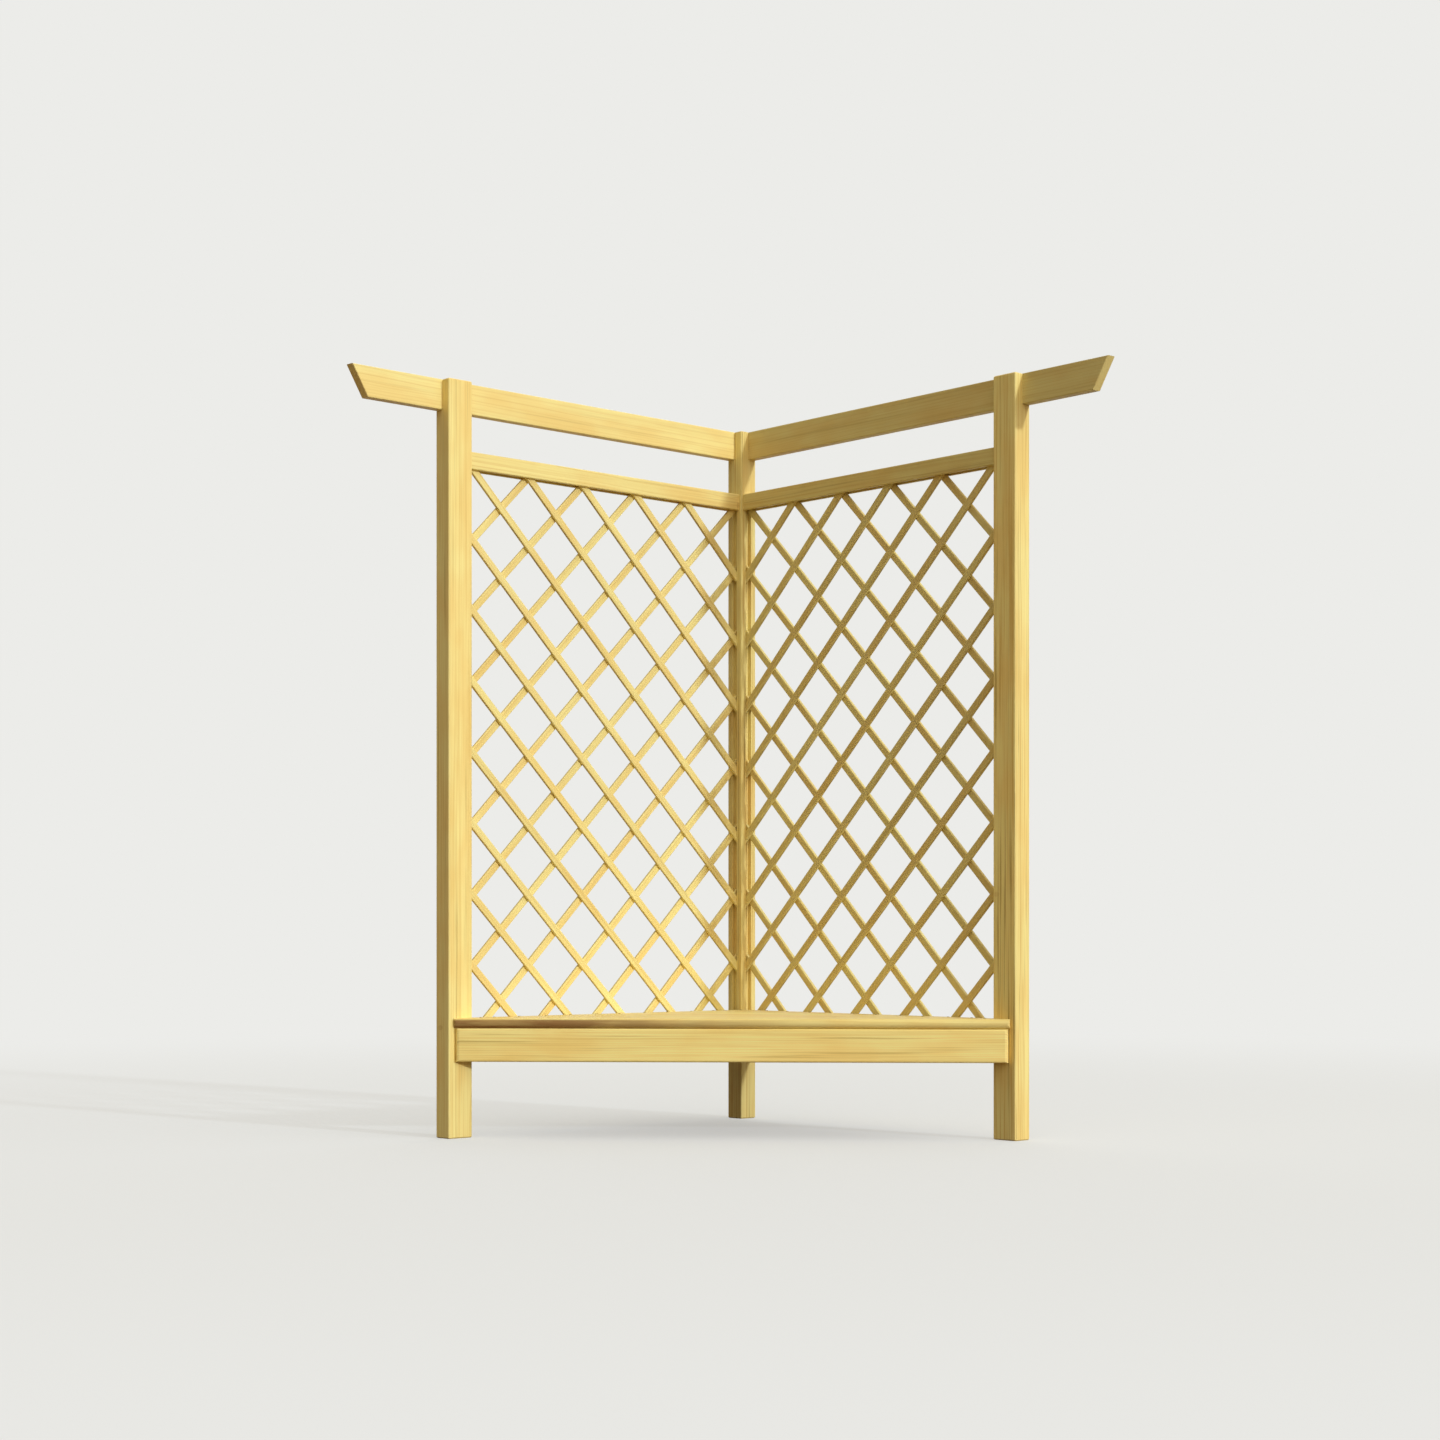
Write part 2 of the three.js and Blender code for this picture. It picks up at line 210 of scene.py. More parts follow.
class PineSettings(bpy.types.PropertyGroup):
    """Colours and grain of the planed, pressure-treated pine"""

    pale: colour("Spring wood", "Pale wood between the year rings", linear(252, 239, 161))
    summer: colour("Summer wood", "Dark line of a year ring", linear(217, 180, 94))
    blush: colour("Blush", "Warm tint that drifts through the boards", linear(248, 222, 141))
    streak: colour("Streak", "Green-brown streaks of the treatment", linear(178, 150, 78))
    knot: colour("Knot", "Heart of a knot", linear(176, 128, 66))
    # Partly a stain, partly painted shade under the rounded top of the seat's front edge
    stain_and_shade: colour("Stain", "Brown stain on the seat's front edge", linear(139, 99, 52))
    ring_width: length("Ring width", "Mean width of a year ring", 5.5 * MILLIMETRE)
    ring_depth: share("Ring contrast", "How dark the year rings are", 0.5)
    streak_depth: share("Streak contrast", "How dark the streaks are", 0.5)
    # The paler long edges are wear and also a painted highlight of their rounding
    wear_and_highlight: share("Arris wear", "How much paler the long edges are", 0.35)
    roughness: share("Roughness", "Roughness of a planed face", 0.56)
    relief: length("Relief", "Height of the grain on a planed face", 0.25 * MILLIMETRE)


class FastenerSettings(bpy.types.PropertyGroup):
    """Sizes and finish of the steel fasteners"""

    screw_head: length("Screw head", "Diameter of a screw head", 8 * MILLIMETRE)
    pin_head: length("Pin head", "Diameter of a pin head", 4 * MILLIMETRE)
    brad_head: length("Brad head", "Diameter of a brad head in the trellis", 3.4 * MILLIMETRE)
    yellow_zinc: colour("Yellow zinc", "Coat of the screws", linear(206, 182, 118))
    white_zinc: colour("White zinc", "Coat of the pins and brads", linear(176, 178, 176))
    roughness: share("Roughness", "Roughness of the zinc coat", 0.46)


class StageSettings(bpy.types.PropertyGroup):
    """Floor, light and camera"""

    floor: colour("Floor", "Colour of the floor as the camera sees it", linear(232, 240, 250))
    backdrop: colour("Backdrop", "Colour behind the floor", linear(236, 236, 233))
    bounce: colour("Floor bounce", "Colour of the floor as the light sees it", linear(114, 92, 60))
    sky: colour("Sky colour", "Colour of the soft light all round", (1.0, 0.74, 0.38))
    sky_level: strength("Sky level", "Strength of the soft light all round", 0.11)
    bright: colour("Bright sky colour", "Colour of the bright side of the sky", (1.0, 0.9, 0.76))
    bright_level: strength("Bright sky level", "Strength of the bright side of the sky", 1.28)
    bright_side: angle("Bright sky side", "How far it is to the right of the front", 42)
    bright_height: angle("Bright sky height", "Height of its middle above the horizon", 40)
    rear: colour("Rear sky colour", "Colour of the soft light behind the seat", (1.0, 0.93, 0.8))
    rear_level: strength("Rear sky level", "Strength of the soft light behind the seat", 1.3)
    rear_height: angle("Rear sky height", "Height of its middle above the horizon", 25)
    sun: colour("Sun colour", "Colour of the key light", (0.96, 1.0, 1.0))
    sun_level: strength("Sun level", "Strength of the key light", 1.27)
    sun_side: angle("Sun side", "How far the key light is to the right of the front", 52)
    sun_height: angle("Sun height", "Height of the key light above the horizon", 16)
    sun_width: angle("Sun width", "Width of the key light, which softens the shadows", 3)
    camera_place: FloatVectorProperty(
        name="Camera place",
        description="Where the camera stands",
        default=(0.286, -7.1646, 0.575),
        subtype="TRANSLATION",
        unit="LENGTH",
    )
    camera_turn: angle("Camera turn", "How far the camera turns to the left", 2.64)
    camera_shift: FloatProperty(
        name="Camera shift",
        description="How far the frame is raised, as a share of its width",
        default=0.1455,
    )
    lens: FloatProperty(
        name="Lens", description="Focal length", default=62.61, unit="CAMERA", min=1
    )


class Number:
    """One output of a node. Arithmetic on it adds Math nodes."""

    def __init__(self, nodes, output):
        self.nodes = nodes
        self.output = output

    def solve(self, operation, *terms):
        settings = {"operation": operation}
        return self.nodes.add("ShaderNodeMath", settings, dict(enumerate(terms)))

    def beside(self, name):
        """Another output of the same node."""
        return Number(self.nodes, self.output.node.outputs[name])

    def between(self, low, high):
        """Rises softly from 0 at low to 1 at high, or falls where high is the lower."""
        falls = low > high
        span = {"From Min": min(low, high), "From Max": max(low, high)}
        ends = {"To Min": 1.0, "To Max": 0.0} if falls else {}
        settings = {"interpolation_type": "SMOOTHSTEP"}
        return self.nodes.add("ShaderNodeMapRange", settings, {"Value": self, **span, **ends})

    def __add__(self, other):
        return self.solve("ADD", self, other)

    def __sub__(self, other):
        return self.solve("SUBTRACT", self, other)

    def __mul__(self, other):
        return self.solve("MULTIPLY", self, other)

    def __truediv__(self, other):
        return self.solve("DIVIDE", self, other)

    def __pow__(self, other):
        return self.solve("POWER", self, other)

    def __abs__(self):
        return self.solve("ABSOLUTE", self)


class Nodes:
    """The node tree of a material or of the world."""

    def __init__(self, owner):
        owner.use_nodes = True
        self.tree = owner.node_tree
        self.tree.nodes.clear()

    def add(self, kind, settings=None, sockets=None, output=0):
        """Adds a node of a kind, with its settings first and then its values and links."""
        node = self.tree.nodes.new(kind)
        for name, setting in (settings or {}).items():
            setattr(node, name, setting)
        for name, value in (sockets or {}).items():
            if isinstance(value, Number):
                self.tree.links.new(value.output, node.inputs[name])
            else:
                node.inputs[name].default_value = value
        return Number(self, node.outputs[output]) if node.outputs else None

    def mix(self, first, second, factor, blend="MIX"):
        """Mixes two colours."""
        settings = {"data_type": "RGBA", "blend_type": blend}
        ends = {6: opaque(first), 7: opaque(second)}
        return self.add("ShaderNodeMix", settings, {0: factor, **ends}, 2)

    def dot(self, first, second):
        """The dot product of a linked vector and a plain one."""
        settings = {"operation": "DOT_PRODUCT"}
        sockets = {0: first, 1: tuple(second)}
        return self.add("ShaderNodeVectorMath", settings, sockets, "Value")

    def noise(self, place, stretch, shift, detail=2.0, roughness=0.5):
        """Noise from 0 to 1 on coordinates that are stretched and shifted first."""
        mapping = {"Vector": place, "Location": shift, "Scale": stretch}
        moved = self.add("ShaderNodeMapping", {}, mapping)
        sockets = {"Vector": moved, "Scale": 1.0, "Detail": detail, "Roughness": roughness}
        return self.add("ShaderNodeTexNoise", {}, sockets)

    def line_noise(self, value):
        """Noise from 0 to 1 along one number."""
        sockets = {"W": value, "Scale": 1.0, "Detail": 1.0}
        return self.add("ShaderNodeTexNoise", {"noise_dimensions": "1D"}, sockets)

    def seen(self):
        """1 where the camera looks, also by a reflection or through glass, and 0 for light."""
        path = self.add("ShaderNodeLightPath", output="Is Camera Ray")
        mirrored = path.solve("MAXIMUM", path, path.beside("Is Glossy Ray"))
        return mirrored.solve("MAXIMUM", mirrored, path.beside("Is Transmission Ray"))

    def surface(self, sockets):
        """Ends the tree of a material in a Principled shader."""
        shader = self.add("ShaderNodeBsdfPrincipled", {}, sockets)
        self.add("ShaderNodeOutputMaterial", {}, {"Surface": shader})


def opaque(tint):
    return tint if isinstance(tint, Number) else (*tuple(tint)[:3], 1.0)


class Board:
    """Where a board lies: its middle, its turn and half its size along the grain, across the
    face and through it."""

    def __init__(self, points, along, face):
        across = face.cross(along)
        self.axes = Matrix((along, across, face)).transposed()
        spots = [self.axes.transposed() @ point for point in points]
        low, high = (Vector(pick(s[i] for s in spots) for i in range(3)) for pick in (min, max))
        self.half = (high - low) / 2
        self.middle = self.axes @ ((high + low) / 2)
        self.along = along

    def place(self, nodes, coordinates):
        """Coordinates on the board: along the grain, across the face and through it."""
        turn = tuple(self.axes.to_euler())
        sockets = {"Vector": coordinates, "Location": tuple(self.middle), "Rotation": turn}
        return nodes.add("ShaderNodeMapping", {"vector_type": "TEXTURE"}, sockets)


def board_of(name, along, face):
    return Board(corners(name), along, face)


def lath_direction(side, layer):
    """Front laths lean outward as they rise, and back laths lean towards the rear post."""
    lean = 1 if layer == "front" else -1
    return lean * math.cos(LATH_RISE) * OUTWARD[side] + math.sin(LATH_RISE) * UP


def lath_boards(name):
    """The boards of a lath's node by layer. A lath that carries a corner lath gives two."""
    side = name.split("_")[0]
    found = {}
    for layer, sign in (("front", 1), ("back", -1)):
        points = [p for p in corners(name) if sign * layer_depth(side, p) > LAYER_EDGE]
        if points:
            found[layer] = Board(points, lath_direction(side, layer), INWARD[side])
    return side, found


class Grain:
    """The figure of a pine board: places on it, and masks from 0 to 1 for its knots, year rings,
    fibres, streaks and edges. They draw on one random sequence, so their order matters."""

    def __init__(self, nodes, boards, side, chance):
        self.nodes = nodes
        self.chance = chance
        self.board = boards[0]
        self.place = self.lie_on(boards, side)
        self.along = nodes.add("ShaderNodeSeparateXYZ", {}, {"Vector": self.place})
        self.across, self.through = self.along.beside("Y"), self.along.beside("Z")

    def lie_on(self, boards, side):
        """Coordinates on the board. Of two boards, the one in whose layer a point lies counts."""
        coordinates = self.nodes.add("ShaderNodeTexCoord", output="Object")
        place = self.board.place(self.nodes, coordinates)
        if len(boards) == 1:
            return place
        other = boards[1].place(self.nodes, coordinates)
        offset = {0: coordinates, 1: tuple(REAR_POST)}
        from_post = self.nodes.add("ShaderNodeVectorMath", {"operation": "SUBTRACT"}, offset)
        depth = self.nodes.dot(from_post, INWARD[side])
        is_front = layer_depth(side, self.board.middle) > 0
        in_other = depth.solve("LESS_THAN" if is_front else "GREATER_THAN", depth, 0.0)
        choice = {0: in_other, 4: place, 5: other}
        return self.nodes.add("ShaderNodeMix", {"data_type": "VECTOR"}, choice, 1)

    def offset(self):
        return self.chance.uniform(0, 99)

    def noise(self, stretch, detail=2.0, roughness=0.5):
        shift = tuple(self.chance.uniform(-40, 40) for _ in range(3))
        return self.nodes.noise(self.place, stretch, shift, detail, roughness)

    def grow(self, pith, taper, knots, ring_width):
        """Year rings round a pith that drifts along the board, with knots that push them aside.
        Spring wood darkens slowly into summer wood and stops sharply."""
        aside = self.across - pith[0] * self.chance.choice((-1, 1))
        below = self.through - pith[1]
        turn = aside.solve("ARCTAN2", aside, below)
        along = self.along / KNOT_SPACING + self.offset()
        around = turn / KNOT_TURN + self.offset()
        spot = self.nodes.add("ShaderNodeCombineXYZ", {}, {"X": along, "Y": around})
        scatter = {"Vector": spot, "Scale": 1.0, "Randomness": 0.9}
        whorl = self.nodes.add("ShaderNodeTexVoronoi", {"voronoi_dimensions": "2D"}, scatter)
        radius = KNOT_RADIUS * min(1.0, self.board.half.y / WIDE_HALF)
        self.knot = whorl.between(radius, radius * HEART) * knots
        self.swirl = whorl.between(radius * SWIRL, radius) * knots

        waver, ripple = self.noise(WAVER), self.noise(RIPPLE)
        reach = (aside * aside + below * below) ** 0.5 + self.along * taper
        reach = reach + (waver - 0.5) * WAVER_REACH + (ripple - 0.5) * RIPPLE_REACH
        reach = reach + self.swirl * SWIRL_REACH
        pace = self.nodes.line_noise(reach * PACE + self.offset())
        years = (reach + pace * PACE_REACH) / ring_width
        season = years.solve("FRACT", years)
        depth = self.nodes.line_noise(reach * DEPTH_PACE + self.offset())
        self.summer = season ** RING_SHARPNESS * depth.between(0.25, 0.75)

    def weather(self):
        """Fibres, streaks of the treatment and slow tints."""
        self.fibre = self.noise(FIBRE, 3, 0.6)
        self.vein = self.noise(VEIN, 3, 0.55)
        self.band = self.noise(BAND)
        self.drift = self.noise(DRIFT)
        self.streak = self.vein.between(0.54, 0.72) * self.band.between(0.35, 0.65)

    def edge(self):
        """The long edges and the sawn ends."""
        half = self.board.half
        # Paler long edges: wear together with a painted highlight of their rounding
        wide = abs(self.across).between(half.y - ARRIS_FROM, half.y - ARRIS_TO)
        deep = abs(self.through).between(half.z - ARRIS_FROM, half.z - ARRIS_TO)
        self.arris_highlight = wide * deep
        normal = self.nodes.add("ShaderNodeTexCoord", output="Normal")
        self.end = abs(self.nodes.dot(normal, self.board.along)).between(0.55, 0.8)

    def front_stain_and_shade(self):
        """A brown mark along the front edge, below the top, that fades out towards the right:
        partly stain, partly painted shade under the rounded top, which is left lighter.
        """
        least, patchiness = 0.1, 0.25
        half = self.board.half
        front = self.across.between(STAIN_AND_SHADE_FROM - half.y, STAIN_AND_SHADE_TO - half.y)
        # Full strength a few millimetres below the top, so the top stays lighter: painted shade
        # under the rounded top
        below = self.through.between(half.z, half.z - STAIN_AND_SHADE_DEPTH)
        fade = self.along.between(half.x * 0.6, -half.x * 0.8) * (1 - least) + least
        patches = self.noise(PATCH, 3).between(0.3, 0.6) * patchiness + (1 - patchiness)
        return front * below * fade * patches


def pine_tint(nodes, grain, streaks, fibres, stained_and_shaded):
    """Lays the colours of the grain over each other, from the pale wood to the sawn ends, with a
    painted highlight on the long edges and, where asked, the stain and painted shade of the seat's
    front edge.
    """
    settings = bpy.context.scene.arbour_pine
    tint = settings.pale
    for over, cover in (
        (settings.blush, grain.drift.between(0.35, 0.7)),
        (settings.summer, grain.summer * settings.ring_depth),
        (settings.summer, grain.band.between(0.4, 0.75) * BAND_TINT),
        (settings.streak, grain.streak * (settings.streak_depth * streaks)),
        (settings.summer, grain.vein.between(0.5, 0.3) * (VEIN_TINT * streaks)),
        (settings.summer, grain.fibre.between(0.5, 0.8) * (FIBRE_TINT * fibres)),
        (settings.summer, grain.swirl * SWIRL_TINT),
        (settings.knot, grain.knot * KNOT_TINT),
        # Wear and a painted highlight along the long edges
        (settings.pale, grain.arris_highlight * settings.wear_and_highlight),
        (settings.blush, grain.end * END_TINT),
    ):
        tint = nodes.mix(tint, over, cover)
    # The stain on the seat's front edge, partly painted shade under its rounded top
    if stained_and_shaded:
        tint = nodes.mix(tint, settings.stain_and_shade, grain.front_stain_and_shade() * stained_and_shaded)
    return tint


def board_cast(chance, tone_and_painted_light):
    """A tone of its own for each board, slightly lighter or darker, and warmer or cooler, on a
    given level, which darkens the right wing's boards as painted shade and lightens the apron as
    painted light.
    """
    level = tone_and_painted_light * chance.uniform(1 - LEVEL_SPREAD, 1 + LEVEL_SPREAD)
    warmth = chance.uniform(-WARMTH_SPREAD, WARMTH_SPREAD)
    green, blue = 1 - warmth * 0.4, 1 - warmth * 2
    return (level, level * green, level * blue)


def pine(
    name,
    boards,
    side=None,
    pith=(0.09, -0.05),
    taper=0.006,
    tone_and_painted_light=1.0,
    streaks=1.0,
    knots=1.0,
    fibres=1.0,
    stained_and_shaded=0.0,
):
    """Pine with its grain along a board. The pith is given across and through the board, and
    taper is how far the rings drift over a metre. A lath that carries a corner lath has two
    boards, and the layer of the trellis says which one a point lies on."""
    settings = bpy.context.scene.arbour_pine
    chance = random.Random(name)
    material = bpy.data.materials.new("Pine " + name.replace("_", " "))
    nodes = Nodes(material)
    grain = Grain(nodes, boards, side, chance)
    grain.grow(pith, taper, knots, settings.ring_width)
    grain.weather()
    grain.edge()
    tint = pine_tint(nodes, grain, streaks, fibres, stained_and_shaded)
    tint = nodes.mix(tint, board_cast(chance, tone_and_painted_light), 1.0, "MULTIPLY")
    height = grain.summer * RING_HEIGHT + grain.fibre * (FIBRE_HEIGHT * fibres)
    height = height + grain.vein * VEIN_HEIGHT - grain.knot * KNOT_SINK
    relief = {"Strength": 0.55, "Distance": settings.relief * 2, "Height": height}
    dullness = grain.fibre * FIBRE_DULLNESS + grain.end * END_DULLNESS - grain.summer * RING_GLOSS
    nodes.surface({
        "Base Color": tint,
        "Roughness": dullness + (settings.roughness - FIBRE_DULLNESS / 2),
        "Normal": nodes.add("ShaderNodeBump", {}, relief),
        "IOR": 1.45,
        "Specular IOR Level": 0.4,
    })
    return material


def finish_with(name, material):
    """Puts a material on all the slots of a board of the frame."""
    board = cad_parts[name]
    if not board.material_slots:
        board.data.materials.append(material)
    for slot in board.material_slots:
        slot.material = material


def zinc(name, coat):
    """Dull zinc-coated steel, with a fine bloom and darker patches."""
    settings = bpy.context.scene.arbour_fasteners
    material = bpy.data.materials.new(name)
    nodes = Nodes(material)
    place = nodes.add("ShaderNodeTexCoord", output="Object")
    bloom = nodes.noise(place, BLOOM, (3, 7, 1), 3)
    patch = nodes.noise(place, TARNISH, (9, 2, 5))
    dull = tuple(part * 0.62 for part in coat)
    relief = {"Strength": 0.3, "Distance": 0.05 * MILLIMETRE, "Height": bloom}
    nodes.surface({
        "Base Color": nodes.mix(coat, dull, patch.between(0.35, 0.7)),
        "Metallic": 0.8,
        "Roughness": bloom * 0.2 + (settings.roughness - 0.1),
        "Normal": nodes.add("ShaderNodeBump", {}, relief),
    })
    return material


def deselect():
    bpy.ops.object.select_all(action="DESELECT")


def begin_edit(piece):
    deselect()
    piece.select_set(True)
    bpy.context.view_layer.objects.active = piece
    bpy.ops.object.mode_set(mode="EDIT")
    bpy.ops.mesh.select_mode(type="VERT")
    bpy.ops.mesh.select_all(action="DESELECT")


def choose(piece, test):
    """Selects the vertices that pass a test, and what they span."""
    mesh = bmesh.from_edit_mesh(piece.data)
    for vertex in mesh.verts:
        vertex.select = test(vertex.co)
    mesh.select_flush(True)
    bmesh.update_edit_mesh(piece.data)


def sink_cross(head, radius, rim, top, depth):
    """Sinks a cross recess in the flat top of a screw head, narrower towards its floor."""
    middle = (0, 0, 0)
    reach = radius * 0.52  # of the arms
    slack = 1.08
    waist = (0.4, 0.4, 1)  # how far the corners between the arms are drawn in
    floor = (0.6, 0.6, 1)  # the size of the floor beside that of the mouth

    def is_inner(spot):
        return spot.z > top and math.hypot(spot.x, spot.y) < reach * slack

    def is_between_arms(spot):
        quarter = math.degrees(math.atan2(spot.y, spot.x)) % 90
        return is_inner(spot) and abs(quarter - 45) < 8

    choose(head, lambda spot: spot.z > top)
    bpy.ops.mesh.inset(thickness=rim - reach)
    choose(head, is_between_arms)
    bpy.ops.transform.resize(value=waist, center_override=middle)
    choose(head, is_inner)
    bpy.ops.mesh.extrude_region_move(TRANSFORM_OT_translate={"value": (0, 0, -depth)})
    bpy.ops.transform.resize(value=floor, center_override=middle)


def fastener_head(name, diameter, height, recessed):
    """A domed head of a fastener that stands on +Z, with its underside just in the wood."""
    radius = diameter / 2
    shoulder = height * 0.55
    sides = 12
    deselect()
    bpy.ops.mesh.primitive_cylinder_add(
        vertices=sides,
        radius=radius,
        depth=2 * height,
        end_fill_type="NGON",
        rotation=(0, 0, math.pi / sides),
    )
    head = bpy.context.active_object
    head.name = name
    bpy.ops.object.transform_apply(location=True, rotation=True, scale=True)
    begin_edit(head)
    choose(head, lambda spot: spot.z > height * 0.9)
    bpy.ops.mesh.bevel(offset=shoulder, segments=2, profile=0.6, affect="EDGES")
    if recessed:
        sink_cross(head, radius, radius - shoulder, height * 0.98, height * 0.8)
    bpy.ops.mesh.select_all(action="SELECT")
    bpy.ops.mesh.normals_make_consistent(inside=False)
    bpy.ops.object.mode_set(mode="OBJECT")
    bpy.ops.object.shade_smooth_by_angle(angle=math.radians(40))
    return head


def drive(name, places, diameter, height, recessed):
    """Copies one head to every place, each given as a point on the wood and the way it faces,
    and joins them as one piece."""
    settings = bpy.context.scene.arbour_fasteners
    coat = settings.yellow_zinc if recessed else settings.white_zinc
    pattern = fastener_head(name + "_pattern", diameter, height, recessed)
    copies = []
    for number, (point, facing) in enumerate(places):
        copy = pattern.copy()
        copy.data = pattern.data.copy()
        bpy.context.scene.collection.objects.link(copy)
        roll = Matrix.Rotation(math.radians(ROLL_STEP * number % 90), 4, "Z")
        turn = facing.to_track_quat("Z", "Y").to_matrix().to_4x4()
        copy.data.transform(Matrix.Translation(point) @ turn @ roll)
        copies.append(copy)
    bpy.data.objects.remove(pattern)
    deselect()
    for copy in copies:
        copy.select_set(True)
    bpy.context.view_layer.objects.active = copies[0]
    bpy.ops.object.join()
    piece = bpy.context.active_object
    piece.name = piece.data.name = name
    piece.data.materials.clear()
    piece.data.materials.append(zinc("Zinc " + name.replace("_", " "), coat))
    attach(piece, "root")


def direction_to(side, height):
    """The direction to a light, by its angle to the right of the front and above the horizon."""
    level = Matrix.Rotation(side, 3, "Z") @ FRONT
    return math.cos(height) * level + math.sin(height) * UP


class ARBOUR_OT_posts(bpy.types.Operator):
    """Finish the three posts in pine with an upright grain"""

    bl_idname = "arbour.posts"
    bl_label = "Finish the posts"

    def execute(self, context):
        for name, face, tone_and_painted_light, streaks in (
            ("front_post_left", INWARD["left"], 1.0, 1.3),
            ("front_post_right", INWARD["right"], 1.0, 3.0),
            ("rear_post", INWARD["right"], 0.92, 3.0),
        ):
            board = board_of(name, UP, face)
            grain = {"pith": (0.055, -0.075), "taper": 0.004, "knots": 0.3}
            finish_with(name, pine(name, [board], tone_and_painted_light=tone_and_painted_light, streaks=streaks, **grain))
        return {"FINISHED"}


class ARBOUR_OT_beams(bpy.types.Operator):
    """Finish the two top beams in pine with the grain along each wing"""

    bl_idname = "arbour.beams"
    bl_label = "Finish the top beams"

    def execute(self, context):
        # The right beam is darker as painted shade: the right wing faces away from the light
        for side, tone_and_painted_light in (("left", 0.98), ("right", 0.84)):
            name = "top_beam_" + side
            board = board_of(name, OUTWARD[side], INWARD[side])
            grain = {"pith": (0.07, -0.06), "taper": 0.008, "streaks": 0.5, "knots": 0.4}
            finish_with(name, pine(name, [board], tone_and_painted_light=tone_and_painted_light, **grain))
        return {"FINISHED"}


class ARBOUR_OT_rails(bpy.types.Operator):
    """Finish the rails of the trellis and of the seat"""

    bl_idname = "arbour.rails"
    bl_label = "Finish the rails"

    def execute(self, context):
        # The right rails are darker as painted shade: the right wing faces away from the light
        for side, tone_and_painted_light in (("left", 0.96), ("right", 0.82)):
            for name in ("trellis_rail_" + side, "seat_rail_" + side):
                board = board_of(name, OUTWARD[side], INWARD[side])
                wood = pine(name, [board], pith=(0.05, -0.08), taper=0.007, tone_and_painted_light=tone_and_painted_light, knots=0.5)
                finish_with(name, wood)
        return {"FINISHED"}


class ARBOUR_OT_laths(bpy.types.Operator):
    """Finish the laths of both trellises, each with the grain along it"""

    bl_idname = "arbour.laths"
    bl_label = "Finish the laths"

    def execute(self, context):
        grain = {
            "pith": (0.03, -0.04),
            "taper": 0.005,
            "streaks": 0.5,
            "knots": 0.6,
            "fibres": 0.35,
        }
        # The right wing's laths are darker as painted shade: they face away from the light
        tones_and_painted_light = {"left": 0.93, "right": 0.8}
        for name in names_with("_lath_"):
            side, boards = lath_boards(name)
            own = "front" if "_front_" in name else "back"
            order = sorted(boards, key=lambda layer: layer != own)
            ordered = [boards[layer] for layer in order]
            wood = pine(name, ordered, side, tone_and_painted_light=tones_and_painted_light[side], **grain)
            finish_with(name, wood)
        return {"FINISHED"}


class ARBOUR_OT_seat_boards(bpy.types.Operator):
    """Finish the boards of the seat, with the grain from side to side"""

    bl_idname = "arbour.seat_boards"
    bl_label = "Finish the seat boards"

    def execute(self, context):
        for name in names_with("seat_board_"):
            is_front = name == "seat_board_1"
            # The front board gets the brown stain, with painted shade under its rounded top
            knots, stained_and_shaded = (0.0, 1.0) if is_front else (0.6, 0.0)
            grain = {"pith": (0.03, -0.11), "taper": 0.012, "knots": knots, "stained_and_shaded": stained_and_shaded}
            finish_with(name, pine(name, [board_of(name, RIGHT, UP)], **grain))
        return {"FINISHED"}


class ARBOUR_OT_seat_frame(bpy.types.Operator):
    """Finish the apron, the bearer and the battens under the seat"""

    bl_idname = "arbour.seat_frame"
    bl_label = "Finish the apron and bearers"

    def execute(self, context):
        apron = board_of("seat_apron", RIGHT, FRONT)
        grain = {"pith": (0.1, -0.05), "taper": 0.005, "streaks": 1.4, "knots": 0.4}
        # The apron is lighter as painted light on its front face
        finish_with("seat_apron", pine("seat_apron", [apron], tone_and_painted_light=1.1, **grain))
        bearer = board_of("seat_bearer", FRONT, UP)
        finish_with("seat_bearer", pine("seat_bearer", [bearer], tone_and_painted_light=0.92))
        for side in OUTWARD:
            name = "seat_batten_" + side
            batten = board_of(name, OUTWARD[side], UP)
            finish_with(name, pine(name, [batten], tone_and_painted_light=0.92))
        return {"FINISHED"}


class ARBOUR_OT_seat_screws(bpy.types.Operator):
    """Drive two screws through the seat boards into each batten"""

    bl_idname = "arbour.seat_screws"
    bl_label = "Drive the seat screws"

    def execute(self, context):
        settings = context.scene.arbour_fasteners
        batten_line = 58 * MILLIMETRE  # from the middle of a wing to a batten's middle, along X
        edge = 28 * MILLIMETRE  # from the edge of a board
        front_edge = 62 * MILLIMETRE  # from the rounded edge of the front board, clear of the apron
        least_side = 80 * MILLIMETRE  # nearer the corner than this, one screw holds the board
        places = []
        for name in names_with("seat_board_"):
            low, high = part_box(name)
            front = front_edge if name == "seat_board_1" else edge
            for depth in (low.y + front, high.y - edge):
                side = REAR_POST.y - depth - batten_line
                spots = [0] if side < least_side else [-side, side]
                places += [(Vector((x, depth, high.z)), UP) for x in spots]
        drive("seat_screws", places, settings.screw_head, SEAT_SCREW_RISE, True)
        return {"FINISHED"}


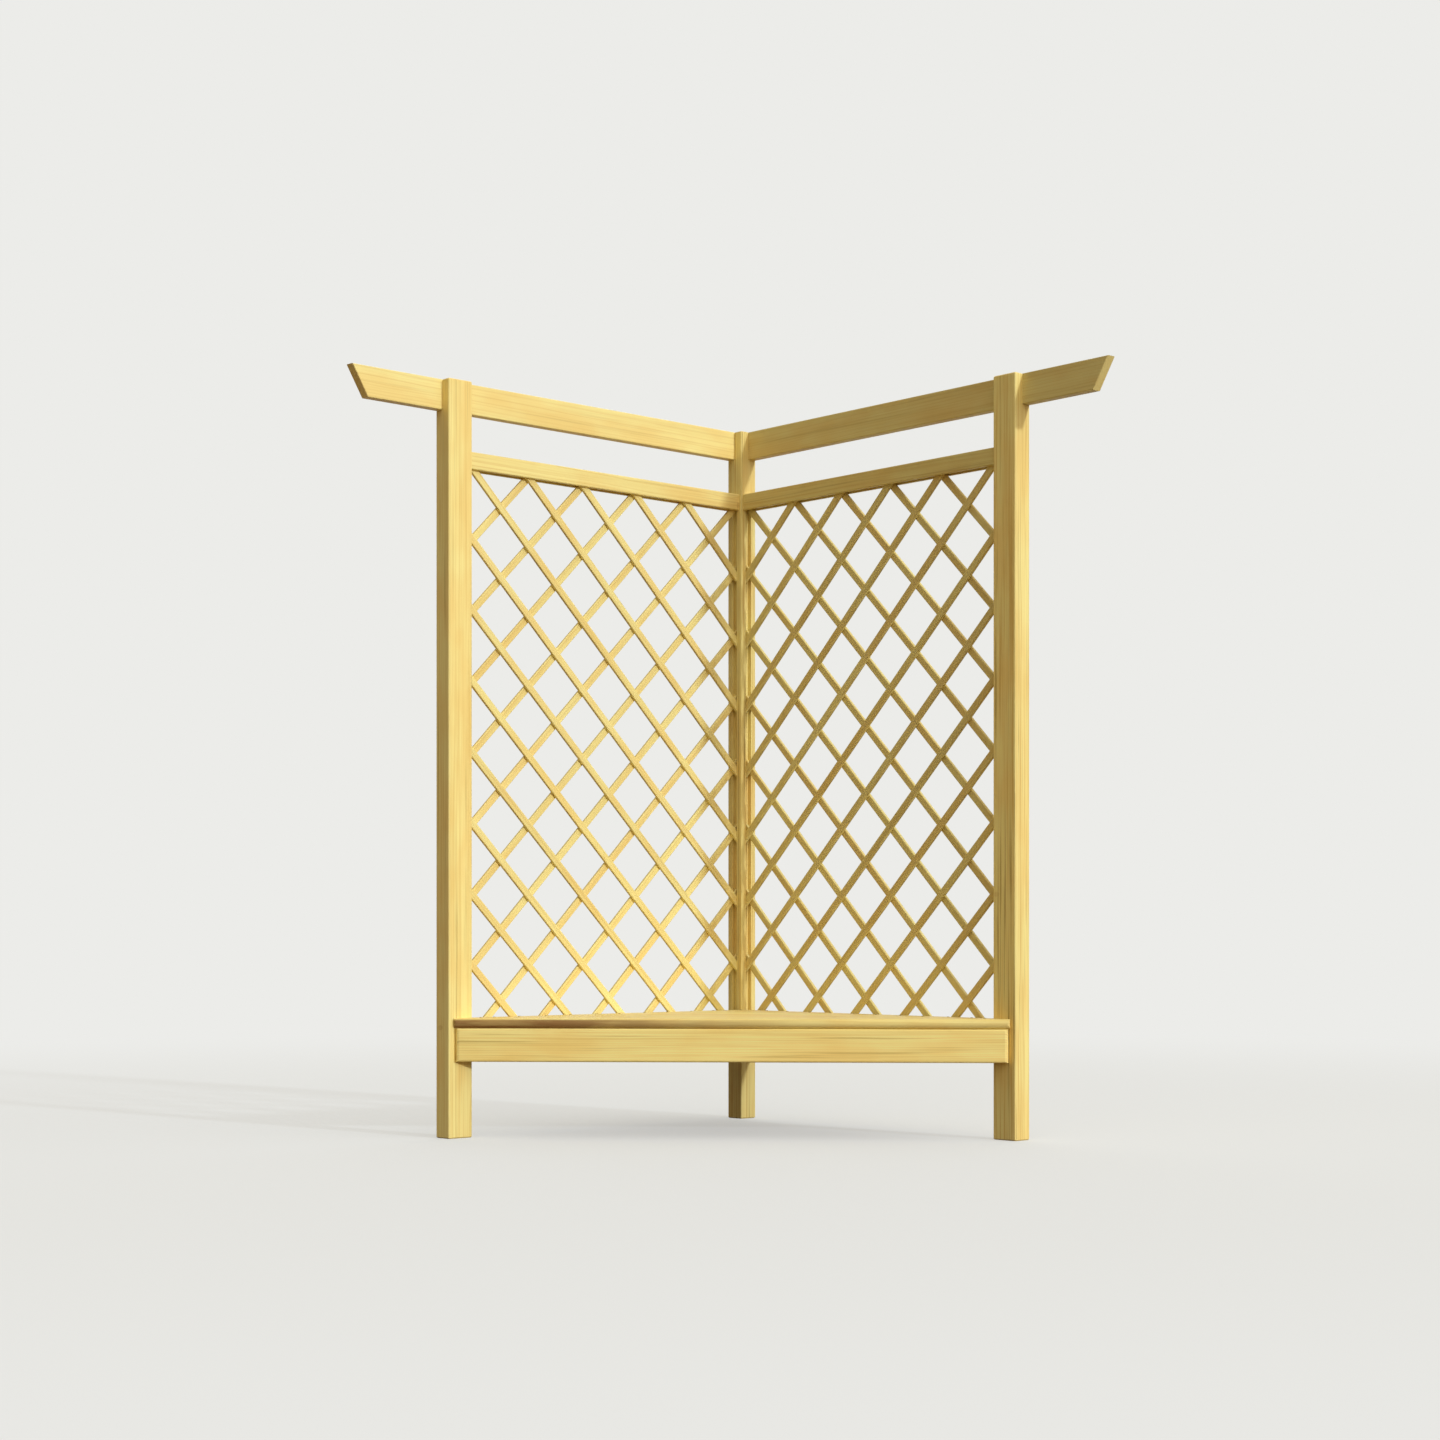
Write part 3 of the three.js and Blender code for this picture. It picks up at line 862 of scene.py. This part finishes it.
class ARBOUR_OT_beam_screws(bpy.types.Operator):
    """Drive the screws that hold each beam to its posts, from behind"""

    bl_idname = "arbour.beam_screws"
    bl_label = "Drive the beam screws"

    def execute(self, context):
        settings = context.scene.arbour_fasteners
        # Each by its place along the wing and its height from the middle of the beam. The outer
        # one is lower, to stay clear of the raked end.
        rear = POST_HALF / 2
        aside = 18 * MILLIMETRE
        spots = (
            (rear, -21 * MILLIMETRE),
            (rear, 21 * MILLIMETRE),
            (FRONT_POST_MIDDLE - aside, -20 * MILLIMETRE),
            (FRONT_POST_MIDDLE + aside, 18 * MILLIMETRE),
        )
        places = []
        for side in OUTWARD:
            low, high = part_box("top_beam_" + side)
            middle = (low.z + high.z) / 2
            for outward, rise in spots:
                places.append((on_wing(side, outward, -POST_HALF, middle + rise), -INWARD[side]))
        drive("beam_screws", places, settings.screw_head, SCREW_RISE, True)
        return {"FINISHED"}


class ARBOUR_OT_batten_screws(bpy.types.Operator):
    """Drive the screws that hold each batten to its seat rail"""

    bl_idname = "arbour.batten_screws"
    bl_label = "Drive the batten screws"

    def execute(self, context):
        settings = context.scene.arbour_fasteners
        along_shares = (-0.86, -0.3, 0.3, 0.86)  # of half the batten's length
        places = []
        for side in OUTWARD:
            board = board_of("seat_batten_" + side, OUTWARD[side], INWARD[side])
            for along in along_shares:
                offset = board.axes @ Vector((along * board.half.x, 0, board.half.z))
                places.append((board.middle + offset, INWARD[side]))
        drive("batten_screws", places, settings.screw_head, SCREW_RISE, True)
        return {"FINISHED"}


class ARBOUR_OT_rail_pins(bpy.types.Operator):
    """Drive the pins through the posts into the rails' tongues, from behind"""

    bl_idname = "arbour.rail_pins"
    bl_label = "Drive the rail pins"

    def execute(self, context):
        settings = context.scene.arbour_fasteners
        inset = 7 * MILLIMETRE  # from the face of the post that the rail meets
        places = []
        for side in OUTWARD:
            for name in ("trellis_rail_" + side, "seat_rail_" + side):
                low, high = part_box(name)
                middle, quarter = (low.z + high.z) / 2, (high.z - low.z) / 4
                for outward in (POST_HALF - inset, FRONT_POST_INNER + inset):
                    for height in (middle - quarter, middle + quarter):
                        point = on_wing(side, outward, -POST_HALF, height)
                        places.append((point, -INWARD[side]))
        drive("rail_pins", places, settings.pin_head, PIN_RISE, False)
        return {"FINISHED"}


class ARBOUR_OT_trellis_brads(bpy.types.Operator):
    """Drive a brad through each crossing of the laths, from behind"""

    bl_idname = "arbour.trellis_brads"
    bl_label = "Drive the trellis brads"

    def execute(self, context):
        settings = context.scene.arbour_fasteners
        for side in OUTWARD:
            layers = {"front": [], "back": []}
            for name in names_with(side + "_front_lath_", side + "_back_lath_"):
                for layer, board in lath_boards(name)[1].items():
                    layers[layer].append(board)
            crossings = [
                self.crossing(side, front, back)
                for front in layers["front"]
                for back in layers["back"]
            ]
            places = [(place, -INWARD[side]) for place in crossings if place]
            name = "trellis_brads_" + side
            drive(name, places, settings.brad_head, BRAD_RISE, False)
        return {"FINISHED"}

    @staticmethod
    def crossing(side, front, back):
        """Where the middles of two laths cross, on the back lath's rear face, if they do."""
        gap = front.middle - back.middle
        gap -= gap.dot(INWARD[side]) * INWARD[side]
        cosine = front.along.dot(back.along)
        on_back = (gap.dot(back.along) - gap.dot(front.along) * cosine) / (1 - cosine * cosine)
        on_front = on_back * cosine - gap.dot(front.along)
        back_reach, front_reach = (lath.half.x - CROSSING_MARGIN for lath in (back, front))
        if abs(on_back) > back_reach or abs(on_front) > front_reach:
            return None
        return back.middle + on_back * back.along - back.half.z * INWARD[side]


class ARBOUR_OT_stage(bpy.types.Operator):
    """Set the pale floor, the soft light and the camera"""

    bl_idname = "arbour.stage"
    bl_label = "Set the stage"

    def execute(self, context):
        settings = context.scene.arbour_stage
        self.lay_floor(settings)
        self.light_sky(context, settings)
        self.hang_sun(context, settings)
        self.place_camera(context, settings)
        context.scene.view_settings.view_transform = "Standard"
        return {"FINISHED"}

    @staticmethod
    def lay_floor(settings):
        """A wide floor that the camera sees fade into the background, with the shadow kept."""
        radius = 40
        fade_from, fade_to = 2.2, 7.0
        least_glow = 0.5
        deselect()
        bpy.ops.mesh.primitive_circle_add(vertices=64, radius=radius, fill_type="NGON")
        floor = bpy.context.active_object
        floor.name = "floor"
        material = bpy.data.materials.new("Floor")
        nodes = Nodes(material)
        place = nodes.add("ShaderNodeTexCoord", output="Object")
        far = nodes.add("ShaderNodeVectorMath", {"operation": "LENGTH"}, {0: place}, "Value")
        seen = nodes.seen()
        tint = nodes.mix(settings.bounce, settings.floor, seen)
        matt = nodes.add("ShaderNodeBsdfDiffuse", {}, {"Color": tint})
        backdrop = {"Color": opaque(settings.backdrop), "Strength": 1.0}
        glow = nodes.add("ShaderNodeEmission", {}, backdrop)
        fade = (far.between(fade_from, fade_to) * (1 - least_glow) + least_glow) * seen
        both = nodes.add("ShaderNodeMixShader", {}, {0: fade, 1: matt, 2: glow})
        nodes.add("ShaderNodeOutputMaterial", {}, {"Surface": both})
        floor.data.materials.append(material)

    @staticmethod
    def light_sky(context, settings):
        """A soft sky, brighter on the side of the key light and behind the seat. The part behind
        is narrow enough to miss every face that looks forward."""
        world = bpy.data.worlds.new("Studio")
        context.scene.world = world
        nodes = Nodes(world)
        direction = nodes.add("ShaderNodeTexCoord", output="Generated")
        to_right = direction_to(settings.bright_side, settings.bright_height)
        to_rear = direction_to(math.pi, settings.rear_height)
        light = tuple(part * settings.sky_level for part in settings.sky)
        for towards, tint, level, edge in (
            (to_right, settings.bright, settings.bright_level, 0.1),
            (to_rear, settings.rear, settings.rear_level, 0.6),
        ):
            lit = tuple(part * level for part in tint)
            light = nodes.mix(light, lit, nodes.dot(direction, towards).between(edge, 1))
        tint = nodes.mix(light, settings.backdrop, nodes.seen())
        background = nodes.add("ShaderNodeBackground", {}, {"Color": tint, "Strength": 1.0})
        nodes.add("ShaderNodeOutputWorld", {}, {"Surface": background})

    @staticmethod
    def hang_sun(context, settings):
        """The key light, low on the right."""
        lamp = bpy.data.lights.new("Sun", "SUN")
        lamp.energy = settings.sun_level
        lamp.color = settings.sun
        lamp.angle = settings.sun_width
        sun = bpy.data.objects.new("Sun", lamp)
        context.scene.collection.objects.link(sun)
        towards = direction_to(settings.sun_side, settings.sun_height)
        sun.rotation_euler = towards.to_track_quat("Z", "Y").to_euler()

    @staticmethod
    def place_camera(context, settings):
        """A level camera at sitting height. Its shift frames the seat above the horizon."""
        data = bpy.data.cameras.new("Camera")
        data.lens = settings.lens
        data.sensor_width = 36
        data.shift_y = settings.camera_shift
        camera = bpy.data.objects.new("Camera", data)
        context.scene.collection.objects.link(camera)
        camera.location = settings.camera_place
        camera.rotation_euler = (math.radians(90), 0, settings.camera_turn)
        context.scene.camera = camera


class ARBOUR_PT_panel(bpy.types.Panel):
    """Steps that dress and stage the arbour seat"""

    bl_idname = "ARBOUR_PT_panel"
    bl_label = "Arbour seat"
    bl_space_type = "VIEW_3D"
    bl_region_type = "UI"
    bl_category = "Arbour seat"

    def draw(self, context):
        scene = context.scene
        for operator in STEPS:
            self.layout.operator(operator.bl_idname)
        for settings in (scene.arbour_pine, scene.arbour_fasteners, scene.arbour_stage):
            box = self.layout.box()
            for name in settings.__annotations__:
                box.prop(settings, name)


STEPS = (
    ARBOUR_OT_posts,
    ARBOUR_OT_beams,
    ARBOUR_OT_rails,
    ARBOUR_OT_laths,
    ARBOUR_OT_seat_boards,
    ARBOUR_OT_seat_frame,
    ARBOUR_OT_seat_screws,
    ARBOUR_OT_beam_screws,
    ARBOUR_OT_batten_screws,
    ARBOUR_OT_rail_pins,
    ARBOUR_OT_trellis_brads,
    ARBOUR_OT_stage,
)
CLASSES = (PineSettings, FastenerSettings, StageSettings, *STEPS, ARBOUR_PT_panel)


def register():
    for kind in CLASSES:
        bpy.utils.register_class(kind)
    bpy.types.Scene.arbour_pine = PointerProperty(type=PineSettings)
    bpy.types.Scene.arbour_fasteners = PointerProperty(type=FastenerSettings)
    bpy.types.Scene.arbour_stage = PointerProperty(type=StageSettings)


def unregister():
    del bpy.types.Scene.arbour_stage
    del bpy.types.Scene.arbour_fasteners
    del bpy.types.Scene.arbour_pine
    for kind in reversed(CLASSES):
        bpy.utils.unregister_class(kind)


def main():
    register()
    bpy.ops.arbour.posts()
    bpy.ops.arbour.beams()
    bpy.ops.arbour.rails()
    bpy.ops.arbour.laths()
    bpy.ops.arbour.seat_boards()
    bpy.ops.arbour.seat_frame()
    bpy.ops.arbour.seat_screws()
    bpy.ops.arbour.beam_screws()
    bpy.ops.arbour.batten_screws()
    bpy.ops.arbour.rail_pins()
    bpy.ops.arbour.trellis_brads()
    bpy.ops.arbour.stage()


if __name__ == "__main__":
    main()
